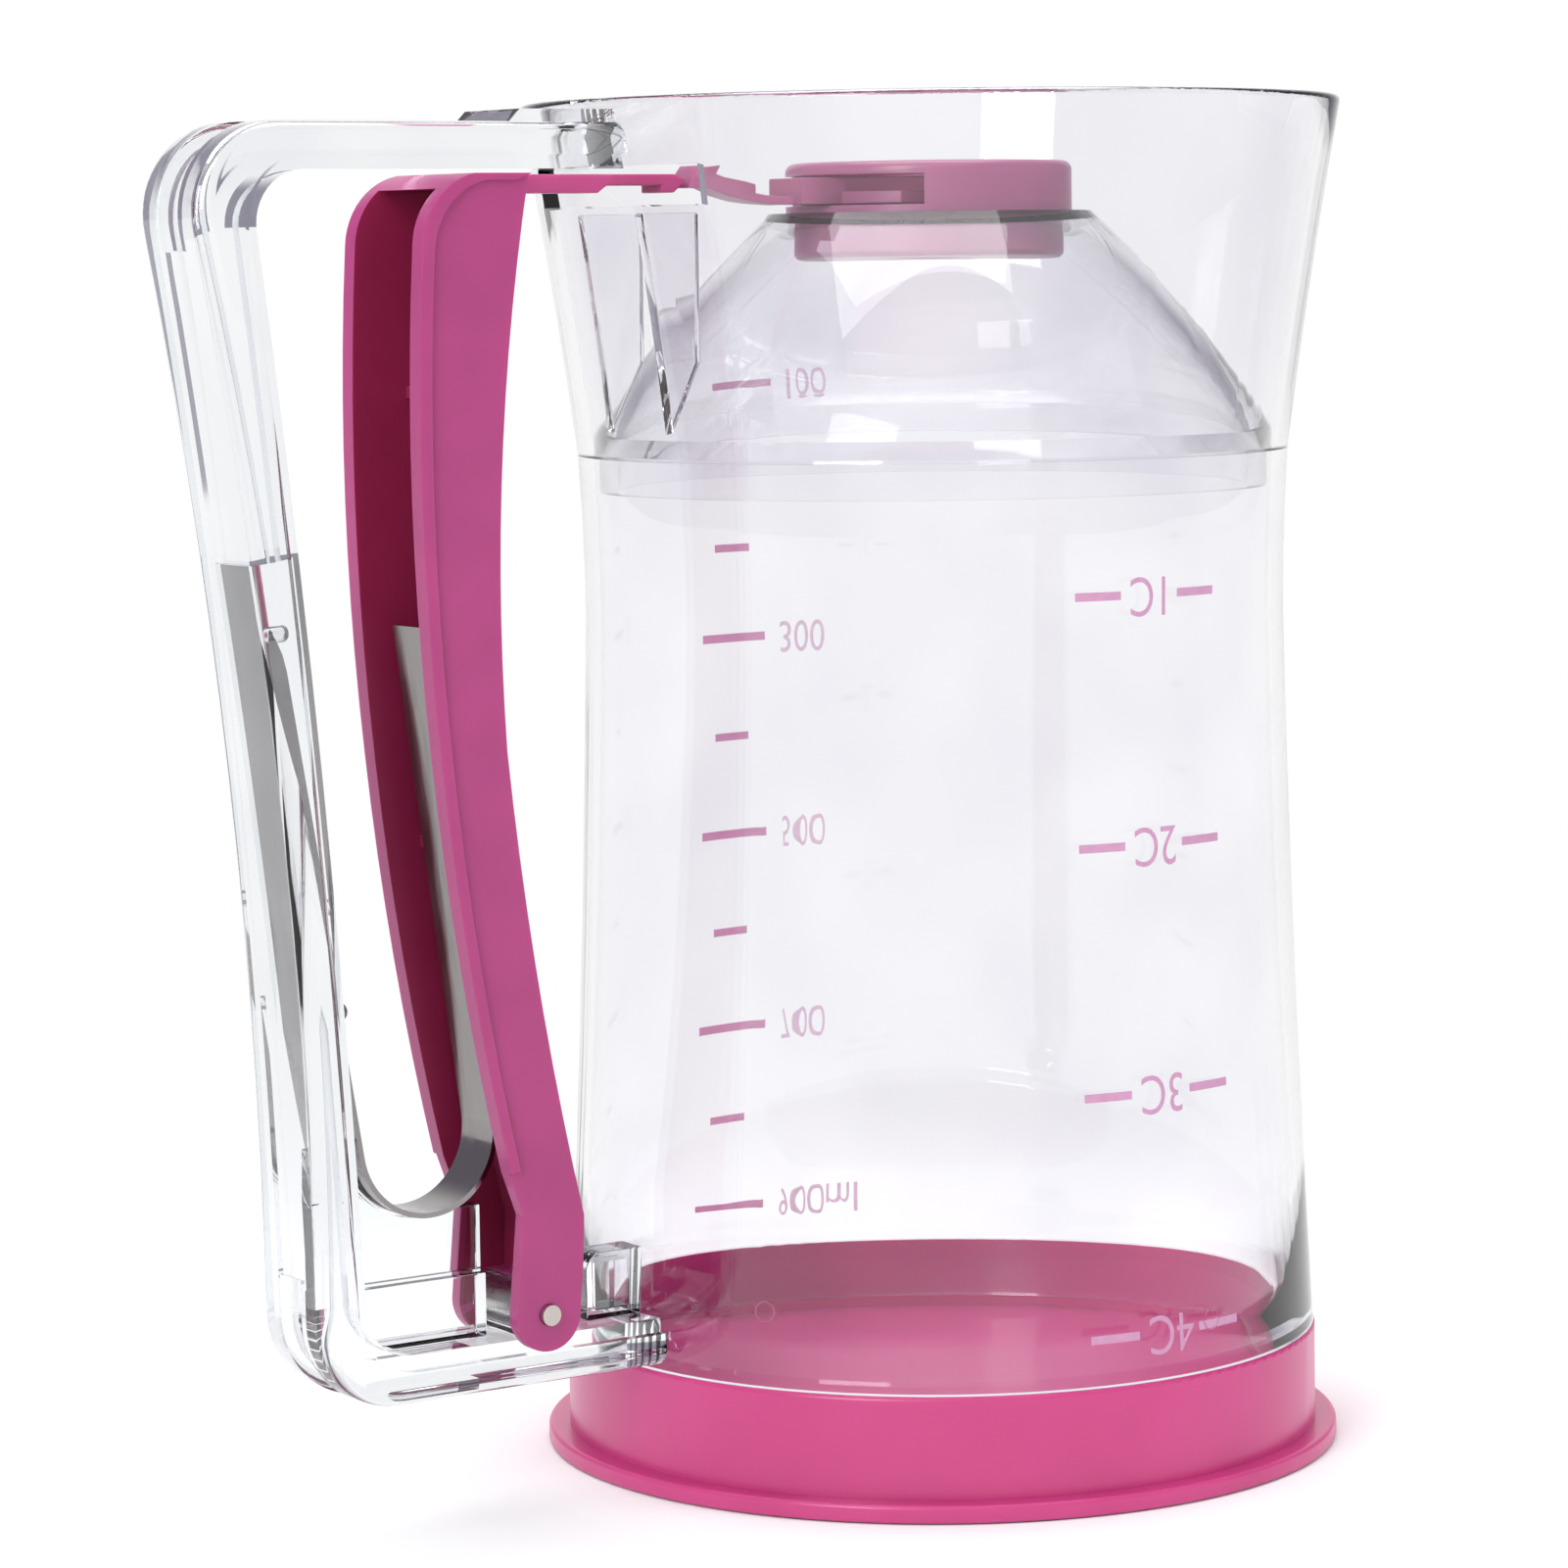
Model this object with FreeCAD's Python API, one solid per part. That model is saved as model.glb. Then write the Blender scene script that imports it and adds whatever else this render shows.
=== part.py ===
import FreeCAD, Part
import math
import os

from FreeCAD import Vector

# Batter dispenser standing on its lid, in millimetres.
# +Z is up, the origin is on the container's axis at the lid's underside, the handle is along -X.
# In use the whole thing is turned over, so the flared stand becomes the foot.

# Height of the link between the trigger and the gate, which places the valve and the handle
strap_middle = 177.3

# Lid
lid_flange_radius = 56.3
lid_flange_height = 2.4
lid_wall_radius = 53.3
lid_wall_top = 16.3
lid_wall = 1.7
lid_floor_top = 2.4
lid_edge_round = 0.6
lid_fit = 0.15

# Container wall
shell_wall = 2.2
shell_foot_radius = 53.1
shell_quarter_height = 60.0
shell_quarter_radius = 50.9
waist_height = 118.0
waist_radius = 49.1
neck_height = 140.0
neck_radius = 49.8
shell_middle_share = 0.25
mouth_inner_radius = 49.5
mouth_gap = 2.6
mouth_band_top = 18.0
mouth_taper_top = 25.0
shoulder_gap = 0.15

# Flared stand above the neck
stand_top = strap_middle + 11.3
stand_radius = 57.3
stand_middle_height = 164.5
stand_middle_radius = 53.2
stand_wall = 2.2
stand_slot_low = strap_middle - 3.0
stand_slot_high = strap_middle + 2.3
stand_slot_half_angle = 21.0
rim_round = 0.8
joint_gap = 0.05

# Funnel dome inside the stand
dome_top = strap_middle - 4.0
dome_flat_radius = 22.5
dome_middle_radius = 37.1
dome_middle_height = 157.6
dome_wall = 2.6
dome_shoulder_share = 1 / 3
dome_hole_radius = 10.8
dome_land = 3.0
dome_plug_depth = 4.9
guide_half_span = 7.7
guide_wall = 1.6
guide_inner_reach = 43.3
guide_outer_reach = 49.0
guide_top = stand_slot_low - 0.9
guide_ramp_top = 153.4
guide_ramp_foot = 140.7

# Valve on the dome
cap_radius = 20.0
cap_height = 7.0
cap_wall = 1.8
cap_roof = 1.8
cap_edge_round = 1.3
cap_window_half_angle = 52.0
nozzle_radius = 6.5
seat_flange_radius = 18.9
seat_flange_height = 4.1
seat_edge_round = 1.0
seat_neck_gap = 0.2
seat_rise = 1.1
gasket_height = 1.0
gasket_radius = 17.6
gasket_gap = 0.1
gate_gap = 0.1
gate_thickness = 1.7
gate_half_width = 12.0
gate_reach = 7.5
gate_block_half_width = 4.0
gate_block_length = 7.4
gate_block_height = 3.6
gate_block_start = 24.3
tail_half_width = 2.6
tail_thickness = 1.2
tail_end = 38.0
tail_rise = 2.2
tail_sag_share = 1 / 6
tooth_length = 4.0
tooth_height = 3.0
tooth_lean = 1.6
tail_pad_length = 7.0
tail_pad_rise = 0.9
tail_pad_share = 0.7

# Pull strap between the trigger and the gate
strap_thick = 2.5
strap_thin = 1.5
strap_half_width = 2.6
strap_step = 56.4
strap_nose = 42.2
strap_nose_length = 4.0
strap_head_half_width = 4.6
strap_head_length = 1.6
strap_gap = 0.8
strap_joint_gap = 0.1

# Handle frame
pivot_x = -71.5
handle_width = 17.0
handle_lip_width = 14.0
handle_lip_depth = 1.9
handle_edge_round = 2.2
handle_top = strap_middle + 8.1
handle_arm_depth = 6.2
handle_back_top = (-119.9, 175.0)
handle_back_middle = (-109.3, 104.0)
handle_back_foot = (-105.4, 38.0)
window_back_top = (-110.8, 174.6)
window_back_middle = (-103.0, 104.6)
window_back_foot = (-98.7, 45.0)
handle_bottom = 17.4
handle_foot_lip_top = 23.8
handle_corner = 12.0
handle_inner_corner = 7.0
groove_width = 5.6
groove_depth = 1.6
groove_top_end = 169.0
groove_foot_end = 35.0
root_pad_rise = 1.6
root_pad_length = 17.0
web_thickness = 2.4
web_foot_thickness = 5.0
web_foot_top = 32.5
web_edge_gap = 5.5
web_edge = web_edge_gap - pivot_x
web_gap = 0.3
stop_height = 33.0
stop_reach = 61.2
stop_thickness = 5.0
stop_wall = 1.4
stop_corner = 2.4

# Trigger, its pivot and the spring
pivot_z = 27.2
pin_radius = 1.4
pin_bore_gap = 0.06
pin_head_out = 0.8
trigger_half_width = 9.5
trigger_wall = 2.0
trigger_front_wall = 2.2
trigger_bead = 0.7
trigger_bead_width = 1.8
trigger_top_lean = 0.9
trigger_top = strap_middle + 1.3
trigger_back_corner = 9.0
trigger_corner_back_share = 0.42
trigger_corner_top_share = 0.3
trigger_foot_radius = 5.0
trigger_slot_height = 4.6
trigger_foot_bore = 3.7
trigger_foot_cut = 25.2
trigger_front_top = (-71.4, trigger_top)
trigger_front_upper = (-76.1, 143.0)
trigger_front_belly = (-76.3, 103.0)
trigger_front_lower = (-73.0, 77.0)
trigger_front_knee = (-65.7, 40.0)
trigger_front_shin = (-66.0, 33.0)
trigger_back_upper = (-88.9, 140.0)
trigger_back_belly = (-86.7, 102.0)
trigger_back_lower = (-82.9, 74.0)
trigger_back_knee = (-77.4, 47.0)
trigger_back_notch = (-75.2, 41.0)
trigger_rib_heights = (150.0, 90.0)
trigger_rib_depth = 3.0
trigger_rib_thickness = 1.5
spring_rest_height = 114.0
spring_rest_thickness = 5.0
spring_rest_gap = 0.3
lug_radius = 3.3
lug_half_width = 7.0
lug_neck_half = 2.3
spring_centre_x = -86.3
spring_centre_z = 51.8
spring_radius = 10.2
spring_thickness = 0.7
spring_half_width = 4.0
spring_back_lean = 9.3
spring_front_lean = 7.7
spring_back_length = 80.0
spring_front_length = 67.0
spring_channel_gap = 0.5
spring_channel_back_wall = 1.6

# How close counts as the same place when edges are chosen
same_place = 0.01
edge_slack = 0.05

axis_z = Vector(0, 0, 1)
origin = Vector(0, 0, 0)


def point(x, z, y=0.0):
    return Vector(x, y, z)


def line(a, b):
    return Part.LineSegment(a, b).toShape()


def arc(a, b, c):
    return Part.Arc(a, b, c).toShape()


def at(pair):
    return point(pair[0], pair[1])


def revolve(edges):
    face = Part.Face(Part.Wire(Part.__sortEdges__(edges)))
    return solid(face.revolve(origin, axis_z, 360))


def solid(shape):
    if shape.ShapeType == "Solid":
        return shape
    return shape.Solids[0]


def polygon(points):
    corners = list(points) + [points[0]]
    return Part.makePolygon(corners)


def ring(outer, inner, low, high):
    tube = Part.makeCylinder(outer, high - low, point(0, low))
    if inner > 0:
        tube = tube.cut(Part.makeCylinder(inner, high - low, point(0, low)))
    return tube


def slab(wire, half_width):
    """Prism of an outline in the XZ plane, centred on the handle's middle plane."""
    face = Part.Face(wire)
    face.translate(Vector(0, -half_width, 0))
    return solid(face.extrude(Vector(0, 2 * half_width, 0)))


def box(x0, x1, half_width, z0, z1):
    return Part.makeBox(x1 - x0, 2 * half_width, z1 - z0, Vector(x0, -half_width, z0))


def wedge(radius, half_angle, low, high):
    """Sector of a disc around -X."""
    half = math.radians(half_angle)
    left = Vector(-radius * math.cos(half), -radius * math.sin(half), low)
    right = Vector(-radius * math.cos(half), radius * math.sin(half), low)
    edges = [
        Part.LineSegment(Vector(0, 0, low), left).toShape(),
        Part.Arc(left, Vector(-radius, 0, low), right).toShape(),
        Part.LineSegment(right, Vector(0, 0, low)).toShape(),
    ]
    return solid(Part.Face(Part.Wire(edges)).extrude(Vector(0, 0, high - low)))


def rounded(shape, radius, choose):
    edges = [edge for edge in shape.Edges if choose(edge)]
    if not edges:
        return shape
    return shape.makeFillet(radius, edges)


def circle_edge_at(height, radius):
    slack = edge_slack

    def choose(edge):
        curve = edge.Curve
        if not isinstance(curve, Part.Circle):
            return False
        close_z = abs(curve.Center.z - height) < slack
        on_axis = abs(curve.Center.x) < slack and abs(curve.Center.y) < slack
        return close_z and on_axis and abs(curve.Radius - radius) < slack
    return choose


def lid_cup():
    flange = ring(lid_flange_radius, 0, 0, lid_flange_height)
    body = flange.fuse(ring(lid_wall_radius, 0, 0, lid_wall_top))
    body = body.removeSplitter()
    inside = lid_wall_radius - lid_wall
    body = body.cut(ring(inside, 0, lid_floor_top, lid_wall_top))
    body = rounded(body, lid_edge_round, circle_edge_at(lid_flange_height, lid_flange_radius))
    body = rounded(body, lid_edge_round / 2, circle_edge_at(0, lid_flange_radius))
    body = rounded(body, lid_edge_round, circle_edge_at(lid_wall_top, lid_wall_radius))
    return solid(body)


def shell_outline(offset):
    """Outer line of the container from the lid to the neck, moved outwards by offset."""
    shoulder = lid_wall_top + shoulder_gap
    foot = point(shell_foot_radius + offset, shoulder)
    quarter = point(shell_quarter_radius + offset, shell_quarter_height)
    waist = point(waist_radius + offset, waist_height)
    neck = point(neck_radius + offset, neck_height)
    middle_height = (waist_height + neck_height) / 2
    middle = point(waist_radius + (neck_radius - waist_radius) * shell_middle_share + offset, middle_height)
    return arc(foot, quarter, waist), arc(waist, middle, neck), foot, waist, neck


def container_shell():
    outer_low, outer_high, foot, waist, neck = shell_outline(0)
    inner_waist = point(waist_radius - shell_wall, waist_height)
    inner_neck = point(neck_radius - shell_wall, neck_height)
    middle_height = (waist_height + neck_height) / 2
    inner_rise = waist_radius + (neck_radius - waist_radius) * shell_middle_share - shell_wall
    inner_middle = point(inner_rise, middle_height)
    band_top = point(mouth_inner_radius, mouth_band_top)
    taper_top = point(shell_foot_radius - shell_wall - lid_fit, mouth_taper_top)
    inner_quarter = point(shell_quarter_radius - shell_wall, shell_quarter_height)
    spigot_radius = lid_wall_radius - lid_wall - lid_fit
    spigot_top = point(spigot_radius, foot.z)
    spigot_foot = point(spigot_radius, lid_floor_top + mouth_gap)
    mouth = point(mouth_inner_radius, lid_floor_top + mouth_gap)
    edges = [
        outer_low,
        outer_high,
        line(neck, inner_neck),
        arc(inner_neck, inner_middle, inner_waist),
        arc(inner_waist, inner_quarter, taper_top),
        line(taper_top, band_top),
        line(band_top, mouth),
        line(mouth, spigot_foot),
        line(spigot_foot, spigot_top),
        line(spigot_top, foot),
    ]
    return revolve(edges)


def stand_line(offset):
    low = point(neck_radius + offset, neck_height + joint_gap)
    middle = point(stand_middle_radius + offset, stand_middle_height)
    top = point(stand_radius + offset, stand_top)
    return low, middle, top


def stand_skirt():
    low, middle, top = stand_line(0)
    in_low, in_middle, in_top = stand_line(-stand_wall)
    edges = [
        arc(low, middle, top),
        line(top, in_top),
        arc(in_top, in_middle, in_low),
        line(in_low, low),
    ]
    body = revolve(edges)
    body = rounded(body, rim_round, circle_edge_at(stand_top, stand_radius))
    reach = stand_radius + stand_wall
    slot = wedge(reach, stand_slot_half_angle, stand_slot_low, stand_slot_high)
    return solid(body.cut(slot))


def dome_lines():
    ledge_radius = neck_radius - stand_wall - joint_gap
    ledge = point(ledge_radius, neck_height + joint_gap)
    rim = point(ledge_radius, neck_height + dome_land)
    middle = point(dome_middle_radius, dome_middle_height)
    shoulder = point(dome_flat_radius, dome_top)
    return ledge, rim, middle, shoulder


def funnel_dome():
    ledge, rim, middle, shoulder = dome_lines()
    plug_radius = waist_radius - shell_wall - joint_gap
    plug_top = point(plug_radius, ledge.z)
    foot = point(plug_radius, neck_height - dome_plug_depth)
    in_foot = point(foot.x - dome_wall, foot.z)
    in_rim = point(in_foot.x, rim.z - dome_wall)
    slant = dome_wall * math.sqrt(0.5)
    in_middle = point(middle.x - slant, middle.z - slant)
    in_shoulder = point(shoulder.x - dome_wall * dome_shoulder_share, shoulder.z - dome_wall)
    edges = [
        line(foot, plug_top),
        line(plug_top, ledge),
        line(ledge, rim),
        arc(rim, middle, shoulder),
        line(shoulder, point(dome_hole_radius, dome_top)),
        line(point(dome_hole_radius, dome_top), point(dome_hole_radius, in_shoulder.z)),
        line(point(dome_hole_radius, in_shoulder.z), in_shoulder),
        arc(in_shoulder, in_middle, in_rim),
        line(in_rim, in_foot),
        line(in_foot, foot),
    ]
    return revolve(edges)


def solid_under_dome():
    ledge, rim, middle, shoulder = dome_lines()
    edges = [
        line(point(0, ledge.z), ledge),
        line(ledge, rim),
        arc(rim, middle, shoulder),
        line(shoulder, point(0, shoulder.z)),
        line(point(0, shoulder.z), point(0, ledge.z)),
    ]
    return revolve(edges)


def solid_in_stand():
    in_low, in_middle, in_top = stand_line(-stand_wall)
    edges = [
        arc(in_low, in_middle, in_top),
        line(in_top, point(0, in_top.z)),
        line(point(0, in_top.z), point(0, in_low.z)),
        line(point(0, in_low.z), in_low),
    ]
    return revolve(edges)


def link_guide():
    """Two ribs between the stand and the dome, one on each side of the link."""
    outline = [
        point(-stand_radius, guide_top),
        point(-guide_inner_reach, guide_top),
        point(-guide_inner_reach, guide_ramp_top),
        point(-guide_outer_reach, guide_ramp_foot),
        point(-stand_radius, guide_ramp_foot),
    ]
    block = slab(polygon(outline), guide_half_span)
    walls = block.cut(slab(polygon(outline), guide_half_span - guide_wall))
    walls = walls.common(solid_in_stand())
    return walls.cut(solid_under_dome())


def valve_seat():
    """Outlet tube with its flange, fitted from inside the container."""
    under = dome_top - dome_wall
    flange = ring(seat_flange_radius, nozzle_radius, under - seat_flange_height, under)
    neck_outer = dome_hole_radius - seat_neck_gap
    neck = ring(neck_outer, nozzle_radius, under - seat_flange_height, dome_top + seat_rise)
    body = flange.fuse(neck).removeSplitter()
    low = under - seat_flange_height
    body = rounded(body, seat_edge_round, circle_edge_at(low, seat_flange_radius))
    return solid(body)


def gasket():
    inner = dome_hole_radius - seat_neck_gap + gasket_gap
    return ring(gasket_radius, inner, dome_top, dome_top + gasket_height)


def gate_low():
    return dome_top + seat_rise + gate_gap


def valve_cap():
    top = dome_top + cap_height
    body = ring(cap_radius, 0, dome_top, top)
    body = rounded(body, cap_edge_round, circle_edge_at(top, cap_radius))
    body = body.cut(ring(cap_radius - cap_wall, 0, dome_top, top - cap_roof))
    body = body.cut(ring(nozzle_radius, 0, top - cap_roof, top))
    window = wedge(cap_radius + cap_wall, cap_window_half_angle, dome_top + gasket_height, top - cap_roof)
    return solid(body.cut(window))


def gate_slide():
    """Sliding plate with its block, curved tail and tooth, closed at rest."""
    low = gate_low()
    plate = box(-gate_block_start, gate_reach, gate_half_width, low, low + gate_thickness)
    disc = Part.makeCylinder(gate_reach + gate_half_width, gate_thickness, point(-gate_half_width, low))
    inside = Part.makeCylinder(cap_radius - cap_wall - lid_fit, gate_thickness, point(0, low))
    plate = plate.common(disc).common(inside)
    block_end = -gate_block_start + gate_block_length
    block = box(-gate_block_start, block_end, gate_block_half_width, low, low + gate_block_height)
    start = point(-gate_block_start, low)
    end = point(-tail_end, low + tail_rise)
    sag = point((start.x + end.x) / 2, low + tail_rise * tail_sag_share)
    lift = Vector(0, 0, tail_thickness)
    tail_edges = [
        arc(start, sag, end),
        line(end, end + lift),
        arc(end + lift, sag + lift, start + lift),
        line(start + lift, start),
    ]
    tail = slab(Part.Wire(tail_edges), tail_half_width)
    tooth_foot = end.z
    tooth_points = [
        point(-tail_end, tooth_foot),
        point(-tail_end - tooth_length, tooth_foot),
        point(-tail_end - tooth_length + tooth_lean / 2, tooth_foot + tooth_height / 2),
        point(-tail_end - tooth_length / 2, tooth_foot + tooth_height),
        point(-tail_end + tooth_lean, tooth_foot + tooth_height),
    ]
    tooth = slab(polygon(tooth_points), tail_half_width)
    pad_start = -tail_end
    pad_height = tail_thickness + tail_pad_rise
    pad_points = [
        point(pad_start, tooth_foot),
        point(pad_start + tail_pad_length, tooth_foot - tail_rise * tail_pad_share),
        point(pad_start + tail_pad_length, tooth_foot - tail_rise * tail_pad_share + pad_height),
        point(pad_start, tooth_foot + pad_height),
    ]
    pad = slab(polygon(pad_points), tail_half_width)
    body = plate.fuse([block, tail, tooth, pad])
    return solid(body.removeSplitter())


def trigger_front_x():
    """Outer face of the trigger's front wall at the strap's height."""
    line_at = Part.LineSegment(point(0, strap_middle), point(2 * handle_back_top[0], strap_middle))
    hit = trigger_front_upper_arc().distToShape(line_at.toShape())[1]
    return hit[0][0].x


def pull_link():
    """Flat strap hooked behind the trigger's front wall, its nose against the gate's tooth."""
    front = trigger_front_x()
    hook = front - trigger_front_wall - strap_gap
    high = strap_middle + strap_thick / 2
    low = strap_middle - strap_thick / 2
    thin_low = high - strap_thin
    nose_end = -strap_nose - strap_joint_gap
    outline = [
        point(hook, low),
        point(-strap_step, low),
        point(-strap_step + strap_thin, thin_low),
        point(nose_end - strap_nose_length, thin_low),
        point(nose_end - strap_nose_length, low),
        point(nose_end - strap_nose_length / 2, low),
        point(nose_end, thin_low + strap_thin / 2),
        point(nose_end - strap_nose_length / 2, high),
        point(hook, high),
    ]
    strap = slab(polygon(outline), strap_half_width)
    head = box(hook - strap_head_length, hook, strap_head_half_width, low, high)
    return solid(strap.fuse(head).removeSplitter())


def back_corner(edge):
    """Choose the edges that cross the handle at its two corners."""
    start = edge.Vertexes[0]
    end = edge.Vertexes[-1]
    across = abs(start.Y - end.Y) > 1 and abs(start.X - end.X) < same_place
    return across and start.X < -web_edge


def loop_slab(top, middle, foot, high, low, corner, half_width):
    """Prism closed on the container's axis, with a curved back and two round corners."""
    circle = arc(at(top), at(middle), at(foot)).Curve
    back_high = meet(circle, high)
    back_low = meet(circle, low)
    edges = [
        arc(back_high, at(middle), back_low),
        line(back_low, point(0, low)),
        line(point(0, low), point(0, high)),
        line(point(0, high), back_high),
    ]
    return rounded(slab(Part.Wire(edges), half_width), corner, back_corner)


def meet(circle, height):
    """Point at one height on the near side of the handle's curve."""
    drop = height - circle.Center.z
    run = math.sqrt(circle.Radius ** 2 - drop ** 2)
    return point(circle.Center.x + run, height)


def moved(pair, run):
    return pair[0] + run, pair[1]


def frame_slab(inset, half_width):
    """Outer form of the handle, made smaller all round by the inset."""
    return loop_slab(
        moved(handle_back_top, inset),
        moved(handle_back_middle, inset),
        moved(handle_back_foot, inset),
        handle_top - inset,
        handle_bottom + inset,
        handle_corner - inset,
        half_width)


def window_slab(outset, half_width):
    """Opening of the handle, made larger all round by the outset."""
    return loop_slab(
        moved(window_back_top, -outset),
        moved(window_back_middle, -outset),
        moved(window_back_foot, -outset),
        handle_top - handle_arm_depth + outset,
        handle_foot_lip_top - outset,
        handle_inner_corner + outset,
        half_width)


def stand_keep_out():
    """Everything inside the outer faces of the container, stand and lid."""
    outer_low, outer_high, foot, waist, neck = shell_outline(0)
    low, middle, top = stand_line(0)
    ceiling = handle_top + root_pad_rise + stand_wall
    edges = [
        line(point(0, 0), point(foot.x, 0)),
        line(point(foot.x, 0), foot),
        outer_low,
        outer_high,
        line(neck, low),
        arc(low, middle, top),
        line(top, point(top.x, ceiling + stand_radius)),
        line(point(top.x, ceiling + stand_radius), point(0, ceiling + stand_radius)),
        line(point(0, ceiling + stand_radius), point(0, 0)),
    ]
    return revolve(edges)


def spring_line(offset):
    """Wire of the leaf spring, offset from its middle line to either side."""
    centre = point(spring_centre_x, spring_centre_z)
    back = math.radians(spring_back_lean)
    front = math.radians(spring_front_lean)
    radius = spring_radius + offset
    back_foot = centre + Vector(-math.cos(back) * radius, 0, -math.sin(back) * radius)
    front_foot = centre + Vector(math.cos(front) * radius, 0, math.sin(front) * radius)
    bottom = centre + Vector(0, 0, -radius)
    back_run = Vector(-math.sin(back), 0, math.cos(back)) * spring_back_length
    front_run = Vector(-math.sin(front), 0, math.cos(front)) * spring_front_length
    return back_foot + back_run, back_foot, bottom, front_foot, front_foot + front_run


def spring_band(outer_offset, inner_offset, half_width):
    a0, a1, a2, a3, a4 = spring_line(outer_offset)
    b0, b1, b2, b3, b4 = spring_line(inner_offset)
    edges = [
        line(a0, a1),
        arc(a1, a2, a3),
        line(a3, a4),
        line(a4, b4),
        line(b4, b3),
        arc(b3, b2, b1),
        line(b1, b0),
        line(b0, a0),
    ]
    return slab(Part.Wire(edges), half_width)


def return_spring():
    half = spring_thickness / 2
    return spring_band(half, -half, spring_half_width)


def spring_channel():
    """Space in the handle's back for the spring's rear leg and its bend."""
    half = spring_thickness / 2 + spring_channel_gap
    reach = handle_back_foot[0] + handle_arm_depth + spring_radius
    band = spring_band(half, -half - handle_arm_depth, spring_half_width + spring_channel_gap)
    keep = box(2 * handle_back_top[0], reach, handle_width, handle_bottom, handle_top)
    return band.common(keep)


def corner_grooves():
    """Grooves round the two outer corners of the frame."""
    half = groove_width / 2
    reach = 2 * handle_back_top[0]
    end = -stand_radius - root_pad_length - groove_width
    deep = frame_slab(groove_depth, groove_width)
    upper = box(reach, end, half, groove_top_end, handle_top + groove_depth)
    lower = box(reach, end, half, handle_bottom - groove_depth, groove_foot_end)
    return upper.cut(deep), lower.cut(deep)


def in_side_face(half_width):
    """Choose the edges in a slab's side faces, away from the container's axis."""
    def choose(edge):
        bounds = edge.BoundBox
        on_side = abs(abs(edge.Vertexes[0].Y) - half_width) < same_place
        flat = abs(edge.Vertexes[0].Y - edge.Vertexes[-1].Y) < same_place
        return on_side and flat and bounds.XMin < -lid_flange_radius
    return choose


def root_pad():
    """Thicker land where the handle's upper arm runs into the stand."""
    start = -stand_radius - root_pad_length
    low = handle_top - root_pad_rise
    high = handle_top + root_pad_rise
    outline = [
        point(start, low),
        point(0, low),
        point(0, high),
        point(start + 2 * root_pad_rise, high),
    ]
    return slab(polygon(outline), handle_lip_width / 2)


def handle_frame():
    half = handle_width / 2
    outer = rounded(frame_slab(0, half), handle_edge_round, in_side_face(half))
    full_window = window_slab(handle_lip_depth, half)
    bead = outer.cut(full_window)
    lip_outer = frame_slab(handle_lip_depth, handle_lip_width / 2)
    lip = lip_outer.cut(window_slab(0, half))
    body = bead.fuse([lip, root_pad()])
    for groove in corner_grooves():
        body = body.cut(groove)
    body = body.cut(spring_channel().common(frame_slab(spring_channel_back_wall, handle_width)))
    body = body.cut(stand_keep_out())
    return largest(body.removeSplitter())


def largest(shape):
    return max(shape.Solids, key=lambda item: item.Volume)


def handle_web():
    """Thin plate under the spring, thicker foot, pivot lug and the trigger's stop."""
    left = window_back_foot[0]
    right = -web_edge
    bottom_limit = handle_foot_lip_top
    top_limit = spring_centre_z
    plate = box(left, right, web_thickness / 2, bottom_limit, top_limit)
    half = spring_thickness / 2 + web_gap
    cradle = Part.makeCylinder(
        spring_radius + half, handle_width, Vector(spring_centre_x, handle_width / 2, spring_centre_z),
        Vector(0, -1, 0))
    plate = plate.cut(cradle)
    above = box(spring_centre_x, right, handle_width, spring_centre_z - spring_radius, top_limit)
    plate = plate.cut(above)
    plate = plate.cut(spring_band(half, -half - handle_arm_depth, handle_width))
    foot = box(left, right, web_foot_thickness / 2, bottom_limit, web_foot_top)
    corner = window_slab(0, handle_width)
    plate = plate.fuse(foot).common(corner)
    return largest(plate.removeSplitter())


def pivot_boss():
    body = Part.makeCylinder(
        lug_radius, 2 * lug_half_width, Vector(pivot_x, lug_half_width, pivot_z), Vector(0, -1, 0))
    low = handle_foot_lip_top
    neck = box(pivot_x - lug_neck_half, pivot_x + lug_neck_half, lug_half_width, low, pivot_z)
    bore = Part.makeCylinder(
        pin_radius, 2 * lug_half_width, Vector(pivot_x, lug_half_width, pivot_z), Vector(0, -1, 0))
    return solid(body.fuse(neck).cut(bore).removeSplitter())


def stop_lug():
    """Hollow rib on the container that the trigger's front comes to rest near."""
    low = handle_foot_lip_top
    block = box(-stop_reach, 0, stop_thickness / 2, low, stop_height)
    top_corner = []
    for edge in block.Edges:
        bounds = edge.BoundBox
        on_front = bounds.XMax + stop_reach < same_place
        on_top = bounds.ZMin > stop_height - same_place
        if on_front and on_top:
            top_corner.append(edge)
    block = block.makeFillet(stop_corner, top_corner)
    hole = box(-stop_reach + stop_wall, -shell_foot_radius - stop_wall, stop_thickness,
               low + stop_wall, stop_height - stop_wall)
    block = block.cut(hole)
    return largest(block.cut(stand_keep_out()))


def pivot_pin():
    half = trigger_half_width + pin_head_out
    return Part.makeCylinder(pin_radius, 2 * half, Vector(pivot_x, half, pivot_z), Vector(0, -1, 0))


def trigger_front_upper_arc():
    return arc(at(trigger_front_top), at(trigger_front_upper), at(trigger_front_belly))


def trigger_front_lower_arc():
    return arc(at(trigger_front_belly), at(trigger_front_lower), at(trigger_front_knee))


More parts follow.
